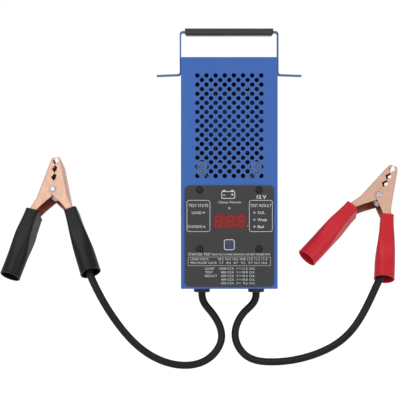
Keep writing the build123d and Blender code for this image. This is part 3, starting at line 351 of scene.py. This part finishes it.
def tube_mesh(name, outer_rings, inner_rings):
    """A closed shell: outer rings from mouth to end, then inner rings back to the mouth."""
    rings = outer_rings + inner_rings[::-1]
    points_each = len(rings[0])
    shape = bmesh.new()
    made = [[shape.verts.new(point) for point in ring] for ring in rings]
    for index, ring in enumerate(made):
        after = made[(index + 1) % len(made)]
        for step in range(points_each):
            following = (step + 1) % points_each
            shape.faces.new((ring[step], ring[following], after[following], after[step]))
    bmesh.ops.recalc_face_normals(shape, faces=shape.faces)
    mesh = bpy.data.meshes.new(name)
    shape.to_mesh(mesh)
    shape.free()
    mesh.shade_smooth()
    return mesh


def rounded_outline(half_width, half_depth, corner, per_corner=10, per_side=5):
    """Points (across, out) round a rounded rectangle, always the same number of them."""
    corner = min(corner, half_width, half_depth)
    points = []
    for quarter in range(4):
        angle = math.pi / 2 * quarter
        x_sign = 1 if quarter in (0, 3) else -1
        y_sign = 1 if quarter in (0, 1) else -1
        centre = (x_sign * (half_width - corner), y_sign * (half_depth - corner))
        for step in range(per_corner + 1):
            turn = angle + math.pi / 2 * step / per_corner
            points.append((centre[0] + corner * math.cos(turn), centre[1] + corner * math.sin(turn)))
        next_x = 1 if (quarter + 1) % 4 in (0, 3) else -1
        next_y = 1 if (quarter + 1) % 4 in (0, 1) else -1
        target_angle = angle + math.pi / 2
        target = (next_x * (half_width - corner) + corner * math.cos(target_angle),
                  next_y * (half_depth - corner) + corner * math.sin(target_angle))
        start = points[-1]
        for step in range(1, per_side):
            share = step / per_side
            points.append((start[0] + (target[0] - start[0]) * share,
                           start[1] + (target[1] - start[1]) * share))
    return points


def ease(value):
    value = min(1.0, max(0.0, value))
    return value * value * (3 - 2 * value)


# ---------------------------------------------------------------- dipped clamp sleeves

WALL = 1.4 * MM
WIDENING = (0.0, 0.8)  # shares of the length between which a sleeve grows wide
ROUNDING = (0.3, 0.76)  # and between which it grows thinner and round
MOUTH_CORNER = 3.0 * MM
FLAT_LEFT = 0.4 * MM  # half the flat left between the corners where the sleeve is roundest
LIP = 1.4 * MM
LIP_RISE = 0.32 * MM
RIPPLE = 0.06 * MM  # how far the dipped skin wavers
RIPPLE_LENGTH = 6.0 * MM
RIPPLE_FADE = 8  # the ripple dies out over this part of the length at each end
PHASE_SPREAD = 400  # starts each sleeve's ripple at another place
RINGS = 56
RIM_REACH = 2.0 * MM  # points this near an end of a CAD sleeve make up its rim


def rim(points, axis, outward, across, at_end):
    """Centre and half sizes of the points nearest one end of a sleeve."""
    along = points @ np.array(axis)
    close = along > along.max() - RIM_REACH if at_end else along < along.min() + RIM_REACH
    near = points[close]
    wide = near @ np.array(across)
    deep = near @ np.array(outward)
    edge = along.max() if at_end else along.min()
    centre = (Vector(axis) * edge + Vector(across) * ((wide.max() + wide.min()) / 2)
              + Vector(outward) * ((deep.max() + deep.min()) / 2))
    return centre, (wide.max() - wide.min()) / 2, (deep.max() - deep.min()) / 2


def make_sleeve(name, node_name, body, clamp_body, look):
    joint = JOINTS[clamp_body]
    pivot = Vector(joint["pos_m"])
    outward = Vector(joint["axis"]).normalized()
    points = np.array([vertex.co for vertex in NODES[node_name].data.vertices], float)
    middle = Vector(points.mean(0))
    axis = middle - pivot
    axis = (axis - outward * axis.dot(outward)).normalized()
    for _ in range(4):
        across = axis.cross(outward).normalized()
        mouth, half_width, half_depth = rim(points, axis, outward, across, False)
        end, end_radius, _ = rim(points, axis, outward, across, True)
        axis = (end - mouth).normalized()
        outward = (outward - axis * axis.dot(outward)).normalized()
    length = (end - mouth).length
    phase = abs(mouth.x) * PHASE_SPREAD

    def ring(share, inset):
        widened = ease((share - WIDENING[0]) / (WIDENING[1] - WIDENING[0]))
        eased = ease((share - ROUNDING[0]) / (ROUNDING[1] - ROUNDING[0]))
        width = half_width + (end_radius - half_width) * widened
        depth = half_depth + (end_radius - half_depth) * eased
        corner = MOUTH_CORNER + (end_radius - FLAT_LEFT - MOUTH_CORNER) * eased
        outline = rounded_outline(width, depth, corner)
        distance = share * length
        lip = max(0.0, 1 - min(distance, length - distance) / LIP)
        swell = LIP_RISE * math.sin(math.pi * min(1.0, lip)) if not inset else 0.0
        placed = []
        for index, (wide, deep) in enumerate(outline):
            reach = math.hypot(wide, deep)
            turn = 2 * math.pi * index / len(outline)
            ripple = RIPPLE * math.sin(distance / RIPPLE_LENGTH + phase + 2 * math.sin(turn))
            ripple *= ease(min(share, 1 - share) * RIPPLE_FADE)
            change = swell + ripple - inset
            factor = (reach + change) / reach
            placed.append(mouth + axis * distance
                          + across * (wide * factor) + outward * (deep * factor))
        return placed

    def crowd(index):
        """Ring shares, crowded at both rims where the lip turns over."""
        return 0.5 - 0.5 * math.cos(math.pi * index / (RINGS - 1))

    outer = [ring(crowd(index), 0.0) for index in range(RINGS)]
    inner = [ring(crowd(index), WALL) for index in range(RINGS)]
    piece = add_piece(name, tube_mesh(name, outer, inner), look, body)
    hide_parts(node_name)
    return piece


for side, look in (("negative", "black_sleeve"), ("positive", "red_sleeve")):
    make_sleeve(f"{side}_fixed_sleeve", f"{side}_fixed_grip", "case", f"{side}_jaw", look)
    make_sleeve(f"{side}_moving_sleeve", f"{side}_moving_grip", f"{side}_jaw", f"{side}_jaw", look)


# ---------------------------------------------------------------- torsion springs

for side in ("negative", "positive"):
    joint = JOINTS[f"{side}_jaw"]
    spring_node = NODES[f"{side}_spring"]
    mesh = spring_node.data.copy()
    mesh.name = f"{side}_torsion_spring"
    piece = add_piece(f"{side}_torsion_spring", mesh, "zinc")
    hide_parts(f"{side}_spring")
    turning = Vector(joint["axis"]).normalized()
    fixed_side = Vector(np.mean([v.co for v in NODES[f"{side}_fixed_grip"].data.vertices], axis=0))
    moving_side = Vector(np.mean([v.co for v in NODES[f"{side}_moving_grip"].data.vertices], axis=0))
    sideways = fixed_side - moving_side
    sideways = (sideways - turning * sideways.dot(turning)).normalized()
    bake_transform(piece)


# ---------------------------------------------------------------- label printing

INK = 0.05 * MM
LABEL_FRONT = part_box("overlay_plate")[0].y
TO_LABEL = Matrix(((1, 0, 0, 0), (0, 0, -1, 0), (0, 1, 0, 0), (0, 0, 0, 1)))
ink = bmesh.new()


def glyphs(text, boldness=0.0):
    """The built-in lettering as a mesh, one unit of type size, lying in its own plane."""
    curve = bpy.data.curves.new("lettering", "FONT")
    curve.body = text
    curve.offset = boldness
    curve.extrude = 0.5
    curve.resolution_u = 3
    holder = bpy.data.objects.new("lettering", curve)
    bpy.context.scene.collection.objects.link(holder)
    bpy.context.view_layer.update()
    graph = bpy.context.evaluated_depsgraph_get()
    mesh = bpy.data.meshes.new_from_object(holder.evaluated_get(graph))
    bpy.data.objects.remove(holder)
    bpy.data.curves.remove(curve)
    return mesh


CAP = max(vertex.co.y for vertex in glyphs("H").vertices)


def write(text, left, base, cap, width=None, centre=False, boldness=0.0):
    """Prints text in mm on the label: left (or centre) x, base line z, capital height, total width."""
    mesh = glyphs(text, boldness)
    xs = [vertex.co.x for vertex in mesh.vertices]
    size = cap / CAP
    stretch = width / ((max(xs) - min(xs)) * size) if width else 1.0
    start = left - (width or (max(xs) - min(xs)) * size) / 2 if centre else left
    mesh.transform(Matrix.Translation((-min(xs), 0, 0)))
    mesh.transform(Matrix.Diagonal((size * stretch * MM, size * MM, INK, 1)))
    mesh.transform(Matrix.Translation((start * MM, base * MM, 0)))
    mesh.transform(TO_LABEL)
    mesh.transform(Matrix.Translation((0, LABEL_FRONT - INK / 2, 0)))
    ink.from_mesh(mesh)
    bpy.data.meshes.remove(mesh)


def ruled_box(centre_x, centre_z, width, height, corner, line):
    """A printed frame with round corners, sizes in mm."""
    outer = rounded_outline(width / 2, height / 2, corner, per_corner=6, per_side=2)
    inner = rounded_outline(width / 2 - line, height / 2 - line, corner - line,
                            per_corner=6, per_side=2)
    layers = []
    for outline, y in ((outer, 0.0), (outer, -INK), (inner, -INK), (inner, 0.0)):
        layers.append([ink.verts.new(((centre_x + x) * MM, LABEL_FRONT + y, (centre_z + z) * MM))
                       for x, z in outline])
    for index, layer in enumerate(layers):
        after = layers[(index + 1) % 4]
        for step in range(len(layer)):
            following = (step + 1) % len(layer)
            ink.faces.new((layer[step], layer[following], after[following], after[step]))


SMALL_CAP = 2.3
VOLTS_RIGHT = -6.4  # where the first pair of voltages ends
VOLTS_PITCH = 7.95
RESULT_TOP = -105.8
RESULT_PITCH = 4.02
LOAD_LINE = -95.5  # the base lines of the two rows of voltages
CRANK_LINE = -99.5

for centre_x, heading in ((-33.8, "TEST STATE"), (34.5, "TEST RESULT")):
    ruled_box(centre_x, -47.1, 25.7, 34.7, 2.6, 0.5)
    write(heading, centre_x, -37.2, 3.1, width=21.5 if centre_x < 0 else 23.2, centre=True)
write("LOAD", -41.0, -45.0, 3.0, width=10.8)
write("CHARGING", -45.9, -60.2, 2.9, width=16.2)
for text, width, base in (("O.K.", 8.2, -44.9), ("Weak", 10.6, -52.7), ("Bad", 6.8, -60.2)):
    write(text, 31.0, base, 2.9, width=width, boldness=0.012)
write("Clamps Reverse", 0.4, -33.2, 2.5, width=24.5, centre=True)
write("12 V", 35.2, -28.1, 3.6, width=10.5, centre=True, boldness=0.03)
write("V", 19.4, -58.9, 1.5)

# a plain battery sign above the display
ruled_box(-1.2, -24.1, 15.0, 8.2, 1.2, 0.75)
for post_x in (-5.6, 3.2):
    ruled_box(post_x, -19.3, 3.0, 1.5, 0.5, 0.72)
write("-", -5.6, -25.3, 3.4, width=2.6, centre=True, boldness=0.03)
write("+", 3.2, -25.5, 3.4, width=2.8, centre=True, boldness=0.03)

ruled_box(0.0, -78.6, 11.8, 11.8, 2.5, 0.85)

write("STARTER TEST", -45.0, -90.4, 2.7, width=25.0)
write("READ VOLTS WHILE CRANKING, USE NEXT HIGHER ROW", -18.6, -90.2, 2.1, width=63.4)
ruled_box(0.0, -96.8, 90.5, 9.8, 0.9, 0.3)
write("LOAD VOLTS", -42.4, LOAD_LINE, SMALL_CAP, width=19.6)
write("MIN.CRANK VOLTS", -42.4, CRANK_LINE, SMALL_CAP, width=28.4)
for column, (load_volts, crank_volts) in enumerate((
        ("10.2", "7.7"), ("10.4", "8.2"), ("10.6", "8.7"), ("10.8", "9.2"),
        ("11.0", "9.7"), ("11.2", "10.2"), ("11.4", "10.6"))):
    right = VOLTS_RIGHT + column * VOLTS_PITCH
    for value, base in ((load_volts, LOAD_LINE), (crank_volts, CRANK_LINE)):
        width = 5.8 if len(value) == 4 else 4.6
        write(value, right - width, base, SMALL_CAP, width=width)
for row, (word, word_width, current, volts) in enumerate((
        ("LOAD", 10.0, "1000", "11.2"), ("TEST", 8.6, "800", "10.8"), ("RESULT", 13.2, "600", "10.4"),
        ("", 0.0, "400", "10.0"), ("", 0.0, "200", "9.6"))):
    base = RESULT_TOP - row * RESULT_PITCH
    if word:
        write(word, -26.6, base, SMALL_CAP, width=word_width)
    current_width = 7.4 if len(current) == 4 else 5.6
    write(current, -3.4 - current_width, base, SMALL_CAP, width=current_width)
    write("CCA", -2.2, base, SMALL_CAP, width=7.2)
    write("V", 7.8, base, SMALL_CAP, width=1.9)
    write(">", 10.8, base, SMALL_CAP, width=1.7)
    volts_width = 6.2 if len(volts) == 4 else 4.8
    write(volts, 20.0 - volts_width, base, SMALL_CAP, width=volts_width)
    write("O.K.", 21.8, base, SMALL_CAP, width=6.6)

bmesh.ops.recalc_face_normals(ink, faces=ink.faces)
print_mesh = bpy.data.meshes.new("label_printing")
ink.to_mesh(print_mesh)
ink.free()
add_piece("label_printing", print_mesh, "label_ink", "case")


# ---------------------------------------------------------------- floor, light and camera

FLOOR_DROP = 0.5 * MM
FLOOR_GLOW = 1.2
WHITE = (1.0, 1.0, 1.0, 1.0)

floor_mesh = bpy.data.meshes.new("studio_floor")
FLOOR_HALF = 12.0
floor_z = cad_low.z - FLOOR_DROP
floor_mesh.from_pydata(
    [(-FLOOR_HALF, -FLOOR_HALF, floor_z), (FLOOR_HALF, -FLOOR_HALF, floor_z),
     (FLOOR_HALF, FLOOR_HALF, floor_z), (-FLOOR_HALF, FLOOR_HALF, floor_z)], [], [(0, 1, 2, 3)])
floor = bpy.data.objects.new("studio_floor", floor_mesh)
bpy.context.scene.collection.objects.link(floor)
floor_look = Surface("pale_floor")
floor_look.feed(floor_look.shader.inputs["Base Color"],
                floor_look.mix(floor_look.noise(60.0), (0.93, 0.93, 0.93, 1), (0.96, 0.96, 0.96, 1)))
floor_look.shader.inputs["Roughness"].default_value = 0.9
glow = floor_look.add("ShaderNodeEmission")
glow.inputs["Strength"].default_value = FLOOR_GLOW
seen = floor_look.add("ShaderNodeLightPath").outputs["Is Camera Ray"]
floor_mix = floor_look.add("ShaderNodeMixShader")
floor_look.feed(floor_mix.inputs[0], floor_look.spread(seen, 0.5, 0.8, 0.0, 1.0))
floor_look.feed(floor_mix.inputs[1], floor_look.shader.outputs[0])
floor_look.feed(floor_mix.inputs[2], glow.outputs[0])
floor_look.feed(floor_look.output.inputs["Surface"], floor_mix.outputs[0])
floor_mesh.materials.append(floor_look.material)

world = bpy.data.worlds.new("studio")
bpy.context.scene.world = world
world.use_nodes = True
world_tree = world.node_tree
background = world_tree.nodes["Background"]
background.inputs["Color"].default_value = WHITE
rays = world_tree.nodes.new("ShaderNodeLightPath")
AMBIENT = 0.5
SHINE = 0.75
strength = world_tree.nodes.new("ShaderNodeMath")
strength.operation = "MULTIPLY_ADD"
strength.inputs[1].default_value = SHINE - AMBIENT
strength.inputs[2].default_value = AMBIENT
world_tree.links.new(rays.outputs["Is Glossy Ray"], strength.inputs[0])
brightest = world_tree.nodes.new("ShaderNodeMath")
brightest.operation = "MAXIMUM"
world_tree.links.new(strength.outputs[0], brightest.inputs[0])
world_tree.links.new(rays.outputs["Is Camera Ray"], brightest.inputs[1])
world_tree.links.new(brightest.outputs[0], background.inputs["Strength"])


def softbox(name, place, size, power, target):
    light = bpy.data.lights.new(name, "AREA")
    light.shape = "RECTANGLE"
    light.size = size[0]
    light.size_y = size[1]
    light.energy = power
    holder = bpy.data.objects.new(name, light)
    bpy.context.scene.collection.objects.link(holder)
    holder.location = place
    holder.rotation_euler = (Vector(target) - Vector(place)).to_track_quat("-Z", "Y").to_euler()
    holder.visible_camera = False
    return holder


middle = (cad_low + cad_high) / 2
softbox("key_light", (-1.1, -1.9, 1.1), (1.8, 1.6), 30.0, middle)
softbox("fill_light", (1.5, -1.8, 0.4), (1.4, 1.2), 14.0, middle)
softbox("back_light", (0.6, 1.9, 1.5), (1.4, 1.2), 24.0, middle)

FRAME_WIDTH = 438.0 * MM  # what the picture spans at the front of the case
CAMERA_DISTANCE = 3.0
SENSOR_WIDTH = 36.0
LOOK_AT = Vector((-32.1 * MM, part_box("front_shell")[0].y, -29.6 * MM))
camera_data = bpy.data.cameras.new("camera")
camera_data.sensor_width = SENSOR_WIDTH
camera_data.lens = SENSOR_WIDTH * CAMERA_DISTANCE / FRAME_WIDTH
camera_data.clip_end = 60.0
camera = bpy.data.objects.new("camera", camera_data)
bpy.context.scene.collection.objects.link(camera)
camera.location = LOOK_AT + Vector((0, -CAMERA_DISTANCE, 0))
camera.rotation_euler = (math.radians(90), 0, 0)
bpy.context.scene.camera = camera
bpy.context.scene.view_settings.view_transform = "Standard"
